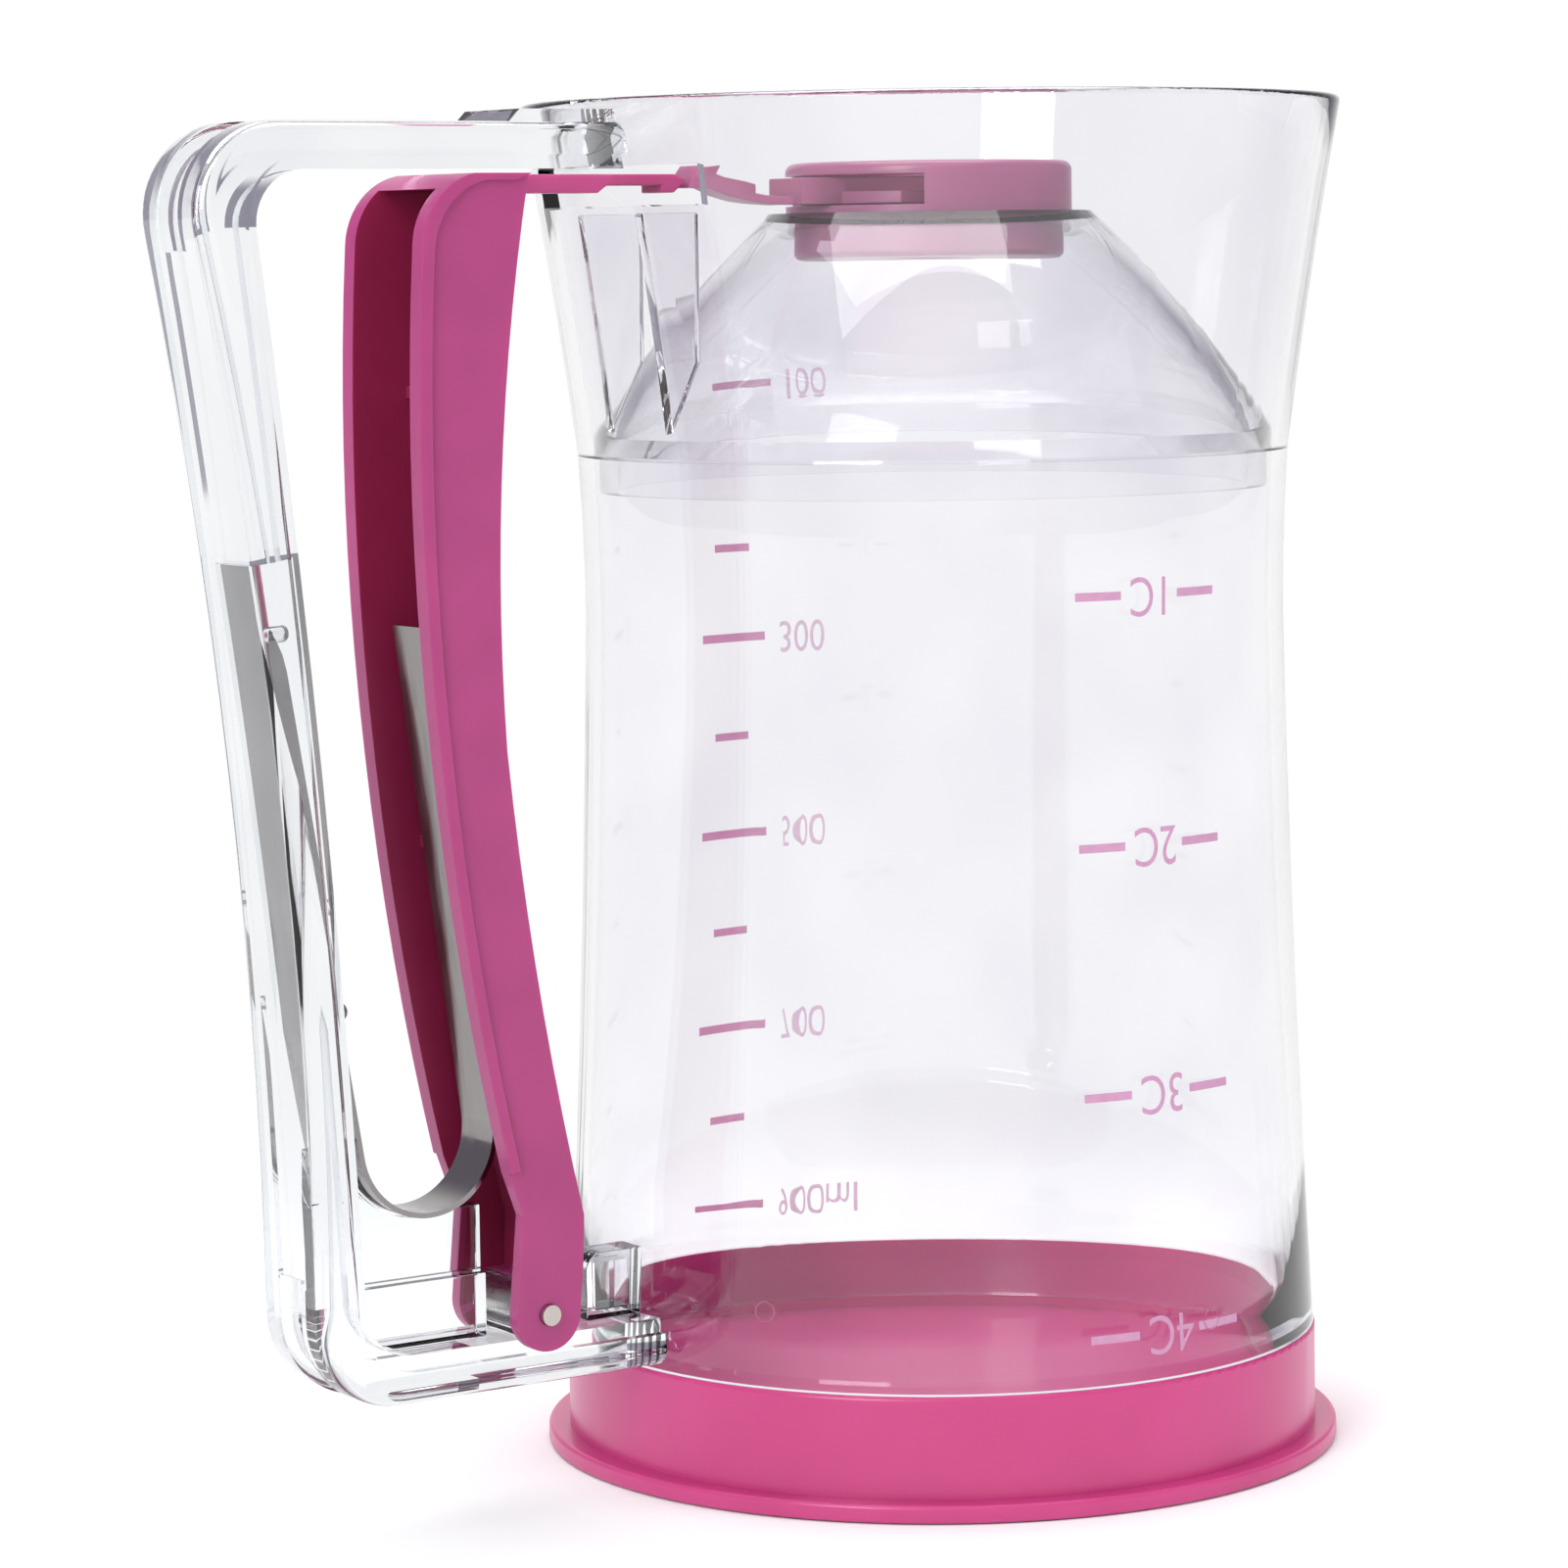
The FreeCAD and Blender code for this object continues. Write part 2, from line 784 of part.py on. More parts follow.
def trigger_outline():
    """Side view of the trigger, from its top round the pivot end and back."""
    corner = trigger_back_corner
    corner_inset_back = corner * trigger_corner_back_share
    corner_inset_top = corner * trigger_corner_top_share
    start = point(pivot_x + trigger_foot_radius, pivot_z)
    end = point(pivot_x - trigger_foot_radius, pivot_z)
    bottom = point(pivot_x, pivot_z - trigger_foot_radius)
    back_high = point(trigger_back_upper[0] + trigger_top_lean, trigger_top - corner)
    back_middle = point(trigger_back_upper[0] + corner_inset_back, trigger_top - corner_inset_top)
    back_top = point(trigger_back_upper[0] + corner, trigger_top)
    edges = [
        trigger_front_upper_arc(),
        trigger_front_lower_arc(),
        line(at(trigger_front_knee), at(trigger_front_shin)),
        line(at(trigger_front_shin), start),
        arc(start, bottom, end),
        line(end, at(trigger_back_notch)),
        line(at(trigger_back_notch), at(trigger_back_knee)),
        arc(at(trigger_back_knee), at(trigger_back_lower), at(trigger_back_belly)),
        arc(at(trigger_back_belly), at(trigger_back_upper), back_high),
        arc(back_high, back_middle, back_top),
        line(back_top, at(trigger_front_top)),
    ]
    return Part.Wire(edges)


def trigger_hollow():
    """Space between the cheeks, open at the back, behind the front and top walls."""
    half = trigger_half_width - trigger_wall
    behind = 2 * handle_back_top[0]
    below = pivot_z - 2 * trigger_foot_radius
    shin = at(trigger_front_shin)
    edges = [
        trigger_front_upper_arc(),
        trigger_front_lower_arc(),
        line(at(trigger_front_knee), shin),
        line(shin, point(shin.x, below)),
        line(point(shin.x, below), point(behind, below)),
        line(point(behind, below), point(behind, trigger_top)),
        line(point(behind, trigger_top), at(trigger_front_top)),
    ]
    hollow = slab(Part.Wire(edges), half)
    hollow.translate(Vector(-trigger_front_wall, 0, -trigger_wall))
    foot = box(behind, pivot_x, half, below, pivot_z + trigger_foot_radius)
    bore = Part.makeCylinder(trigger_foot_bore, 2 * half, Vector(pivot_x, half, pivot_z), Vector(0, -1, 0))
    under = box(behind, pivot_x + 2 * trigger_foot_radius, half, below, trigger_foot_cut)
    front_foot = box(pivot_x, pivot_x + 2 * trigger_foot_radius, half, below, pivot_z + trigger_foot_bore)
    return hollow.cut(front_foot).fuse([foot, bore, under])


def link_slot():
    """Slot for the link in the front wall, and the opening its head drops into."""
    front = trigger_front_x()
    low = strap_middle - trigger_slot_height / 2
    high = strap_middle + trigger_slot_height / 2
    neck_half = strap_half_width + strap_gap / 2
    head_half = strap_head_half_width + strap_gap / 2
    back = front - trigger_front_wall
    head_end = back - strap_head_length - 2 * strap_gap
    neck = box(head_end, front + trigger_front_wall, neck_half, low, high)
    head = box(head_end, back, head_half, low, high)
    return neck.fuse(head)


def trigger_bead_band():
    """Raised bead along the cheeks' back edges."""
    back = slab(trigger_outline(), trigger_half_width + trigger_bead)
    inner = back.copy()
    inner.translate(Vector(trigger_bead_width, 0, -trigger_bead_width / 2))
    low = trigger_back_knee[1]
    band = back.cut(inner).common(
        box(2 * handle_back_top[0], trigger_front_knee[0], 2 * trigger_half_width, low, trigger_top))
    between = box(2 * handle_back_top[0], 0, trigger_half_width - trigger_wall / 2, 0, trigger_top)
    front = slab(trigger_outline(), 2 * trigger_half_width)
    front.translate(Vector(trigger_back_corner, 0, 0))
    return band.cut(between).cut(front)


def trigger_lever():
    half = trigger_half_width
    block = slab(trigger_outline(), half)
    body = block.cut(trigger_hollow())
    body = body.fuse(trigger_bead_band())
    for height in trigger_rib_heights:
        body = body.fuse(trigger_rib(block, height, trigger_rib_depth, trigger_rib_thickness))
    body = body.fuse(spring_rest(block))
    bore = Part.makeCylinder(
        pin_radius + pin_bore_gap, 4 * half, Vector(pivot_x, 2 * half, pivot_z), Vector(0, -1, 0))
    body = body.cut(bore).cut(link_slot())
    return largest(body.removeSplitter())


def trigger_rib(block, height, depth, thickness):
    """Stiffening rib across the channel, standing on the front wall's inside."""
    inset = block.copy()
    inset.translate(Vector(-trigger_front_wall - depth, 0, 0))
    level = box(2 * handle_back_top[0], 0, trigger_half_width - trigger_wall / 2, height - thickness / 2,
                height + thickness / 2)
    return block.common(level).cut(inset)


def spring_rest(block):
    """Pad that the spring's front leg pushes on."""
    half = spring_rest_thickness / 2
    low = spring_rest_height - half
    level = box(2 * handle_back_top[0], 0, spring_half_width, low, low + spring_rest_thickness)
    inner = spring_thickness / 2
    room = spring_band(-inner - 2 * handle_width, inner + spring_rest_gap, handle_width)
    return block.common(level).cut(room)


def main():
    os.makedirs("parts", exist_ok=True)
    makers = {
        "lid_cup": lid_cup,
        "container_shell": container_shell,
        "stand_skirt": stand_skirt,
        "funnel_dome": funnel_dome,
        "link_guide": link_guide,
        "valve_seat": valve_seat,
        "gasket": gasket,
        "valve_cap": valve_cap,
        "gate_slide": gate_slide,
        "pull_link": pull_link,
        "handle_frame": handle_frame,
        "handle_web": handle_web,
        "pivot_boss": pivot_boss,
        "stop_lug": stop_lug,
        "pivot_pin": pivot_pin,
        "trigger_lever": trigger_lever,
        "return_spring": return_spring,
    }
    for name, make in makers.items():
        shape = make()
        shape.exportStep("parts/" + name + ".step")
        print(name, len(shape.Solids), "solids", round(shape.Volume, 1), "mm3", "valid", shape.isValid())


main()
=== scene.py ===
# %% [markdown]
# # A clear batter dispenser, standing on its lid
#
# The solids come from the CAD model and are already in place, in metres. Their joints are already set too. What is
# left for Blender is the look: clear plastic, magenta plastic, steel and printed ink, in soft studio light.

import math

import bmesh
import bpy
from mathutils import Matrix, Vector
from mathutils.bvhtree import BVHTree


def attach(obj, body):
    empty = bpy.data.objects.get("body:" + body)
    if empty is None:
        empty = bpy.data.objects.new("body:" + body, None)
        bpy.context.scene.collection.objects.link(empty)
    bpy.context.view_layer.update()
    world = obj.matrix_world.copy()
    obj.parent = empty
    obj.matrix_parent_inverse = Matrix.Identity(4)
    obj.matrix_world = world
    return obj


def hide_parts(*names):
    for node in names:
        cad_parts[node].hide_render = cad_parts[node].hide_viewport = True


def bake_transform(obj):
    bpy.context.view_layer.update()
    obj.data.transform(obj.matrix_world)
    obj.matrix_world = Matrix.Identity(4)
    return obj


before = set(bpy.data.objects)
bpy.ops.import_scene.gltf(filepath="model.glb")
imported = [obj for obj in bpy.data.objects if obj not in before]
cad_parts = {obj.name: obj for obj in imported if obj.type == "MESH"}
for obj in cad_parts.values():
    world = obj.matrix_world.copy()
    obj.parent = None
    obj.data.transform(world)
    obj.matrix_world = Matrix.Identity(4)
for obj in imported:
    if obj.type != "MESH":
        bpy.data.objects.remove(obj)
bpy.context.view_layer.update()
MM = 0.001
print("CAD nodes:", len(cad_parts))

# %% [markdown]
# ## The camera
#
# A long lens from low on the handle's side, tilted a little down. The three directions are stored as they were worked
# out, so the camera needs no target object and no constraint.

# %% Place the camera
CAMERA_PLACE = Vector((-0.4160, -0.5726, 0.1669))
CAMERA_FORWARD = Vector((0.55992, 0.82200, -0.10390)).normalized()
CAMERA_RIGHT = Vector((0.82563, -0.56406, -0.01323)).normalized()
CAMERA_UP = CAMERA_RIGHT.cross(CAMERA_FORWARD)

camera_data = bpy.data.cameras.new("Camera")
camera_data.sensor_width = 36
camera_data.lens = 115.25
camera = bpy.data.objects.new("Camera", camera_data)
turn = Matrix((CAMERA_RIGHT, CAMERA_UP, -CAMERA_FORWARD)).transposed()
camera.matrix_world = Matrix.Translation(CAMERA_PLACE) @ turn.to_4x4()
bpy.context.scene.collection.objects.link(camera)
bpy.context.scene.camera = camera
bpy.context.scene.view_settings.view_transform = "Standard"
print("Camera looks along", tuple(round(value, 3) for value in CAMERA_FORWARD))

# %% [markdown]
# ## The room
#
# Clear plastic has hardly any colour. What shows its shape is what it bends the view towards, so a room that is white
# all round makes it vanish. Studios put grey cards beside the white backdrop for this. Here the world does it: rays
# that went through or off the object see pale grey to both sides, and white elsewhere.

# %% Make the world
def link(tree, source, target):
    tree.links.new(source, target)


def math_node(tree, operation, first, second=0.0):
    node = tree.nodes.new("ShaderNodeMath")
    node.operation = operation
    for socket, value in zip(node.inputs, (first, second)):
        if isinstance(value, bpy.types.NodeSocket):
            link(tree, value, socket)
        else:
            socket.default_value = value
    return node.outputs[0]


def ramp_node(tree, value, stops):
    """A colour ramp. Each stop is a position and a colour."""
    node = tree.nodes.new("ShaderNodeValToRGB")
    ramp = node.color_ramp
    ramp.interpolation = "EASE"
    while len(ramp.elements) < len(stops):
        ramp.elements.new(1.0)
    for element, (position, colour) in zip(ramp.elements, stops):
        element.position = position
        element.color = (*colour, 1.0)
    link(tree, value, node.inputs["Fac"])
    return node.outputs["Color"]


WHITE = (1.0, 1.0, 1.0)
BLACK = (0.0, 0.0, 0.0)
CARD_GREY = (0.30, 0.28, 0.34)
CARD_EDGES = (0.22, 0.62)
ROOM_LIGHT = 0.62

world = bpy.data.worlds.new("Studio")
bpy.context.scene.world = world
world.use_nodes = True
tree = world.node_tree
tree.nodes.clear()
direction = tree.nodes.new("ShaderNodeTexCoord").outputs["Generated"]
sideways = tree.nodes.new("ShaderNodeVectorMath")
sideways.operation = "DOT_PRODUCT"
link(tree, direction, sideways.inputs[0])
sideways.inputs[1].default_value = CAMERA_RIGHT
side_amount = math_node(tree, "ABSOLUTE", sideways.outputs["Value"])
seen_colour = ramp_node(tree, side_amount, [(CARD_EDGES[0], WHITE), (CARD_EDGES[1], CARD_GREY), (1.0, CARD_GREY)])
seen = tree.nodes.new("ShaderNodeBackground")
link(tree, seen_colour, seen.inputs["Color"])
plain = tree.nodes.new("ShaderNodeBackground")
plain.inputs["Color"].default_value = (*WHITE, 1.0)
light = tree.nodes.new("ShaderNodeBackground")
light.inputs["Color"].default_value = (0.98, 0.99, 1.0, 1.0)
light.inputs["Strength"].default_value = ROOM_LIGHT
path = tree.nodes.new("ShaderNodeLightPath")
through = math_node(tree, "MAXIMUM", path.outputs["Is Glossy Ray"], path.outputs["Is Transmission Ray"])
bent = tree.nodes.new("ShaderNodeMixShader")
link(tree, through, bent.inputs["Fac"])
link(tree, light.outputs[0], bent.inputs[1])
link(tree, seen.outputs[0], bent.inputs[2])
straight = tree.nodes.new("ShaderNodeMixShader")
link(tree, path.outputs["Is Camera Ray"], straight.inputs["Fac"])
link(tree, bent.outputs[0], straight.inputs[1])
link(tree, plain.outputs[0], straight.inputs[2])
link(tree, straight.outputs[0], tree.nodes.new("ShaderNodeOutputWorld").inputs["Surface"])
print("World nodes:", len(tree.nodes))

# %% [markdown]
# The floor is white and keeps the soft shadow close to the lid. Away from the object it fades into plain white, so
# that no horizon shows.

# %% Lay the floor
def new_object(name, mesh):
    obj = bpy.data.objects.new(name, mesh)
    bpy.context.scene.collection.objects.link(obj)
    return obj


def new_material(name):
    material = bpy.data.materials.new(name)
    material.use_nodes = True
    material.node_tree.nodes.clear()
    return material


FLOOR_HALF = 8.0
FLOOR_DROP = 0.2 * MM
floor_mesh = bpy.data.meshes.new("Floor")
shape = bmesh.new()
bmesh.ops.create_grid(shape, x_segments=1, y_segments=1, size=FLOOR_HALF)
shape.to_mesh(floor_mesh)
shape.free()
floor = new_object("Floor", floor_mesh)
floor.location.z = -FLOOR_DROP

floor_white = new_material("Floor white")
tree = floor_white.node_tree
place = tree.nodes.new("ShaderNodeTexCoord").outputs["Object"]
distance = tree.nodes.new("ShaderNodeVectorMath")
distance.operation = "LENGTH"
link(tree, place, distance.inputs[0])
fade = ramp_node(tree, distance.outputs["Value"], [(0.06, BLACK), (0.30, WHITE)])
paper = tree.nodes.new("ShaderNodeBsdfDiffuse")
paper.inputs["Color"].default_value = (0.95, 0.95, 0.955, 1.0)
glow = tree.nodes.new("ShaderNodeEmission")
glow.inputs["Color"].default_value = (*WHITE, 1.0)
path = tree.nodes.new("ShaderNodeLightPath")
viewed = math_node(tree, "MAXIMUM", path.outputs["Is Glossy Ray"], path.outputs["Is Transmission Ray"])
viewed = math_node(tree, "MAXIMUM", viewed, path.outputs["Is Camera Ray"])
amount = math_node(tree, "MULTIPLY", fade, viewed)
mix = tree.nodes.new("ShaderNodeMixShader")
link(tree, amount, mix.inputs["Fac"])
link(tree, paper.outputs[0], mix.inputs[1])
link(tree, glow.outputs[0], mix.inputs[2])
link(tree, mix.outputs[0], tree.nodes.new("ShaderNodeOutputMaterial").inputs["Surface"])
floor_mesh.materials.append(floor_white)
print("Floor is", 2 * FLOOR_HALF, "m wide")

# %% [markdown]
# Three soft boxes light the object: a large one to the left of the camera, a weaker one to the right, and one above.
# The weaker one would leave a hard white streak in the clear walls, so it gives light but isn't seen in them.

# %% Hang the lamps
OBJECT_MIDDLE = Vector((-0.03, 0.0, 0.095))


def soft_box(name, place, size, watts):
    data = bpy.data.lights.new(name, "AREA")
    data.shape = "RECTANGLE"
    data.size, data.size_y = size
    data.energy = watts
    lamp = new_object(name, data)
    lamp.location = place
    lamp.rotation_euler = (OBJECT_MIDDLE - Vector(place)).to_track_quat("-Z", "Y").to_euler()
    return lamp


soft_box("Key", (-1.15, -0.55, 0.75), (0.55, 1.0), 11.0)
fill = soft_box("Fill", (0.85, -1.05, 0.45), (0.4, 0.9), 5.0)
fill.visible_glossy = False
fill.visible_transmission = False
soft_box("Top", (0.1, 0.25, 1.25), (1.0, 0.8), 8.0)
print("Lamps hung around", tuple(OBJECT_MIDDLE))

# %% [markdown]
# ## Finishes
#
# Moulded plastic is never perfectly flat: it shrinks a little as it cools, and that makes reflections waver. One node
# group gives every plastic this waver, each with its own scale and depth. It puts out a normal, and a mask that the
# colours vary with.

# %% Build the moulding waver
def group_output(group, kind, name):
    group.interface.new_socket(name=name, in_out="OUTPUT", socket_type=kind)


def group_input(group, name, value):
    socket = group.interface.new_socket(name=name, in_out="INPUT", socket_type="NodeSocketFloat")
    socket.default_value = value


moulding_waver = bpy.data.node_groups.new("Moulding waver", "ShaderNodeTree")
group_input(moulding_waver, "Scale", 40.0)
group_input(moulding_waver, "Strength", 0.1)
group_input(moulding_waver, "Depth", 0.0002)
group_output(moulding_waver, "NodeSocketVector", "Normal")
group_output(moulding_waver, "NodeSocketFloat", "Mask")
inside = moulding_waver.nodes.new("NodeGroupInput")
outside = moulding_waver.nodes.new("NodeGroupOutput")
place = moulding_waver.nodes.new("ShaderNodeTexCoord").outputs["Object"]
noise = moulding_waver.nodes.new("ShaderNodeTexNoise")
noise.inputs["Detail"].default_value = 1.5
link(moulding_waver, place, noise.inputs["Vector"])
link(moulding_waver, inside.outputs["Scale"], noise.inputs["Scale"])
bump = moulding_waver.nodes.new("ShaderNodeBump")
link(moulding_waver, inside.outputs["Strength"], bump.inputs["Strength"])
link(moulding_waver, inside.outputs["Depth"], bump.inputs["Distance"])
link(moulding_waver, noise.outputs["Fac"], bump.inputs["Height"])
link(moulding_waver, bump.outputs["Normal"], outside.inputs["Normal"])
link(moulding_waver, noise.outputs["Fac"], outside.inputs["Mask"])
print("Group outputs:", [item.name for item in moulding_waver.interface.items_tree if item.in_out == "OUTPUT"])

# %% [markdown]
# The clear parts are a hard, water-clear plastic. Real refraction is used, because the nested walls, the dome seen
# through the stand and the dark edges all come from it. Light from a lamp would be lost in refraction, so rays that
# only ask for shadow pass nearly straight through, and the lid and the trigger are lit behind the clear walls.

# %% Make the clear plastic
SHADOW_LEFT = 0.12
PLASTIC_IOR = 1.49


def waver(tree, scale, strength, depth):
    node = tree.nodes.new("ShaderNodeGroup")
    node.node_tree = moulding_waver
    node.inputs["Scale"].default_value = scale
    node.inputs["Strength"].default_value = strength
    node.inputs["Depth"].default_value = depth
    return node


def principled(tree):
    shader = tree.nodes.new("ShaderNodeBsdfPrincipled")
    link(tree, shader.outputs["BSDF"], tree.nodes.new("ShaderNodeOutputMaterial").inputs["Surface"])
    return shader


def clear_plastic(name, tint, lightest, roughness, waver_strength):
    material = new_material(name)
    tree = material.node_tree
    shader = principled(tree)
    surface = waver(tree, 45.0, waver_strength, 0.0002)
    link(tree, surface.outputs["Normal"], shader.inputs["Normal"])
    colour = ramp_node(tree, surface.outputs["Mask"], [(0.35, tint), (0.65, lightest)])
    link(tree, colour, shader.inputs["Base Color"])
    shadow_ray = tree.nodes.new("ShaderNodeLightPath").outputs["Is Shadow Ray"]
    blocked = math_node(tree, "MULTIPLY", shadow_ray, 1.0 - SHADOW_LEFT)
    link(tree, math_node(tree, "SUBTRACT", 1.0, blocked), shader.inputs["Alpha"])
    shader.inputs["Transmission Weight"].default_value = 1.0
    shader.inputs["IOR"].default_value = PLASTIC_IOR
    shader.inputs["Roughness"].default_value = roughness
    return material


clear_wall = clear_plastic("Clear wall", (0.925, 0.923, 0.950), (0.965, 0.963, 0.980), 0.01, 0.05)
clear_handle = clear_plastic("Clear handle", (0.865, 0.885, 0.905), (0.925, 0.940, 0.955), 0.03, 0.12)
seal = clear_plastic("Translucent seal", (0.95, 0.95, 0.96), WHITE, 0.35, 0.1)
print("Clear finishes made")

# %% [markdown]
# The lid and the trigger are the same magenta plastic. It is not quite opaque, so light bleeds a little way into it,
# which is what subsurface weight stands for. The trigger is rougher, because it is gripped. The valve's thin walls let
# some light right through, so they look paler.

# %% Make the magenta plastic
def magenta_plastic(name, dark, bright, roughness, grain_scale, clearness=0.0):
    material = new_material(name)
    tree = material.node_tree
    shader = principled(tree)
    surface = waver(tree, grain_scale, 0.15, 0.0001)
    link(tree, surface.outputs["Normal"], shader.inputs["Normal"])
    colour = ramp_node(tree, surface.outputs["Mask"], [(0.3, dark), (0.7, bright)])
    link(tree, colour, shader.inputs["Base Color"])
    shader.inputs["Roughness"].default_value = roughness
    shader.inputs["Subsurface Weight"].default_value = 0.25
    shader.inputs["Subsurface Radius"].default_value = (0.004, 0.001, 0.002)
    shader.inputs["Subsurface Scale"].default_value = 1.0
    shader.inputs["Transmission Weight"].default_value = clearness
    return material


lid_plastic = magenta_plastic("Lid magenta", (0.51, 0.046, 0.195), (0.55, 0.052, 0.215), 0.28, 60.0)
# The trigger's colour is painted darker than the lid's, though it is the same plastic: painted shade.
trigger_plastic = magenta_plastic("Trigger magenta", (0.36, 0.040, 0.172), (0.39, 0.044, 0.185), 0.34, 90.0)
# Painted shade: a darker copy of the trigger magenta, for the trigger's inner faces between the cheeks.
trigger_painted_shade = magenta_plastic("Trigger painted shade", (0.250, 0.013, 0.062), (0.270, 0.015, 0.068), 0.38, 90.0)
valve_plastic = magenta_plastic("Valve magenta", (0.44, 0.060, 0.200), (0.48, 0.066, 0.220), 0.30, 80.0)
pale_valve = magenta_plastic("Pale valve magenta", (0.60, 0.20, 0.38), (0.64, 0.22, 0.41), 0.30, 80.0, 0.5)
print("Magenta finishes made")

# %% [markdown]
# The spring is rolled strip and the pin is drawn wire, so both carry fine lines along their length. A noise that is
# stretched along Z gives the lines.

# %% Make the steel
LINE_STRETCH = (900.0, 900.0, 12.0)
ROUGHER_LINES = 0.15


def drawn_steel(name, colour, roughness):
    material = new_material(name)
    tree = material.node_tree
    shader = principled(tree)
    mapping = tree.nodes.new("ShaderNodeMapping")
    mapping.inputs["Scale"].default_value = LINE_STRETCH
    link(tree, tree.nodes.new("ShaderNodeTexCoord").outputs["Object"], mapping.inputs["Vector"])
    lines = tree.nodes.new("ShaderNodeTexNoise")
    lines.inputs["Scale"].default_value = 1.0
    link(tree, mapping.outputs["Vector"], lines.inputs["Vector"])
    rough = ramp_node(tree, lines.outputs["Fac"], [(0.2, (roughness,) * 3), (0.8, (roughness + ROUGHER_LINES,) * 3)])
    link(tree, rough, shader.inputs["Roughness"])
    shader.inputs["Base Color"].default_value = (*colour, 1.0)
    shader.inputs["Metallic"].default_value = 1.0
    return material


spring_steel = drawn_steel("Spring steel", (0.30, 0.28, 0.28), 0.09)
pin_steel = drawn_steel("Pin steel", (0.62, 0.58, 0.53), 0.25)
print("Steel made")

# %% [markdown]
# The printed scales are thin ink, slightly uneven where it dried. The millilitre scale is seen from behind, through two
# walls, so light comes through its layer, and a little emission stands in for that. Its numbers are the palest.

# %% Make the inks
INK_LIGHTER = 1.08


def printing_ink(name, colour, glow):
    material = new_material(name)
    tree = material.node_tree
    shader = principled(tree)
    surface = waver(tree, 700.0, 0.1, 0.00002)
    lighter = tuple(min(1.0, INK_LIGHTER * value) for value in colour)
    shade = ramp_node(tree, surface.outputs["Mask"], [(0.3, colour), (0.7, lighter)])
    link(tree, shade, shader.inputs["Base Color"])
    shader.inputs["Roughness"].default_value = 0.5
    shader.inputs["Emission Color"].default_value = (*glow, 1.0)
    shader.inputs["Emission Strength"].default_value = 1.0
    return material


mark_ink = printing_ink("Millilitre mark ink", (0.56, 0.22, 0.40), (0.26, 0.10, 0.17))
number_ink = printing_ink("Millilitre number ink", (0.66, 0.46, 0.57), (0.30, 0.22, 0.27))
cup_ink = printing_ink("Cup ink", (0.52, 0.26, 0.42), BLACK)
print("Inks made")

# %% [markdown]
# ## Dress the CAD nodes
#
# A imported node is loose triangles, which show as facets in clear plastic. Each node is copied, its doubled corners
# are merged, and edges that are nearly flat are shaded smooth. No mould leaves a razor edge, so the pieces with square
# corners get a small bevel, which catches the light. The copy then stands for the node. Every copy rides its own body,
# except the spring's: its place is baked into its mesh, and it rides none.

# %% Copy each node with smooth shading
FINISHES = {
    "container_shell": clear_wall,
    "stand_skirt": clear_wall,
    "funnel_dome": clear_wall,
    "link_guide": clear_wall,
    "handle_frame": clear_handle,
    "handle_web": clear_handle,
    "pivot_boss": clear_handle,
    "stop_lug": clear_handle,
    "valve_cap": pale_valve,
    "valve_seat": pale_valve,
    "gate_slide": pale_valve,
    "pull_link": valve_plastic,
    "gasket": seal,
    "lid_cup": lid_plastic,
    "trigger_lever": trigger_plastic,
    "pivot_pin": pin_steel,
    "return_spring": spring_steel,
}
BODY_OF = {"lid_cup": "lid", "trigger_lever": "trigger", "gate_slide": "gate", "pull_link": "gate"}
MERGE_DISTANCE = 0.001 * MM
FLAT_ANGLE = math.radians(0.5)
SHARP_ANGLE = math.radians(22)
CORNER_ANGLE = math.radians(40)
TRIGGER_INSIDE = 7.6 * MM
HOLLOW_LOW = 32 * MM
HOLLOW_HIGH = 177 * MM
FACING_LIMIT = 0.3
SOFT_EDGE = {
    "trigger_lever": 0.45 * MM,
    "handle_web": 0.20 * MM,
    "pivot_boss": 0.20 * MM,
    "stop_lug": 0.25 * MM,
    "link_guide": 0.20 * MM,
    "valve_cap": 0.20 * MM,
    "gate_slide": 0.15 * MM,
    "pull_link": 0.20 * MM,
    "lid_cup": 0.20 * MM,
}


def soften(shape, width):
    """Rounds every outer corner of a solid by a small width."""
    bmesh.ops.dissolve_limit(
        shape, angle_limit=FLAT_ANGLE, use_dissolve_boundaries=False, verts=shape.verts, edges=shape.edges)
    corners = [edge for edge in shape.edges
               if len(edge.link_faces) == 2 and edge.calc_face_angle_signed(0.0) > CORNER_ANGLE]
    bmesh.ops.bevel(
        shape, geom=corners, offset=width, segments=2, affect="EDGES", profile=0.5, material=-1, clamp_overlap=True)


def paint_hollow_shade(mesh):
    """Gives the trigger's inner faces, which lie between the cheeks and face back or inward, a darker copy of the
    trigger magenta as painted shade.
    """
    mesh.materials.append(trigger_painted_shade)
    for face in mesh.polygons:
        deep = abs(face.center.y) < TRIGGER_INSIDE and HOLLOW_LOW < face.center.z < HOLLOW_HIGH
        if deep and face.normal.x < FACING_LIMIT and face.normal.z < FACING_LIMIT:
            face.material_index = 1


def smooth_copy(node):
    shape = bmesh.new()
    shape.from_mesh(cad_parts[node].data)
    bmesh.ops.remove_doubles(shape, verts=shape.verts, dist=MERGE_DISTANCE)
    if node in SOFT_EDGE:
        soften(shape, SOFT_EDGE[node])
    for face in shape.faces:
        face.smooth = True
    for edge in shape.edges:
        edge.smooth = len(edge.link_faces) == 2 and edge.calc_face_angle(0.0) < SHARP_ANGLE
    mesh = bpy.data.meshes.new(node + "_smooth")
    shape.to_mesh(mesh)
    shape.free()
    mesh.materials.append(FINISHES[node])
    # The trigger's inner faces get painted shade.
    if node == "trigger_lever":
        paint_hollow_shade(mesh)
    piece = new_object(node + "_smooth", mesh)
    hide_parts(node)
    if node == "return_spring":
        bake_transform(piece)
    else:
        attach(piece, BODY_OF.get(node, "container"))
    return piece


dressed = {node: smooth_copy(node) for node in FINISHES}
print("Pieces dressed:", len(dressed))

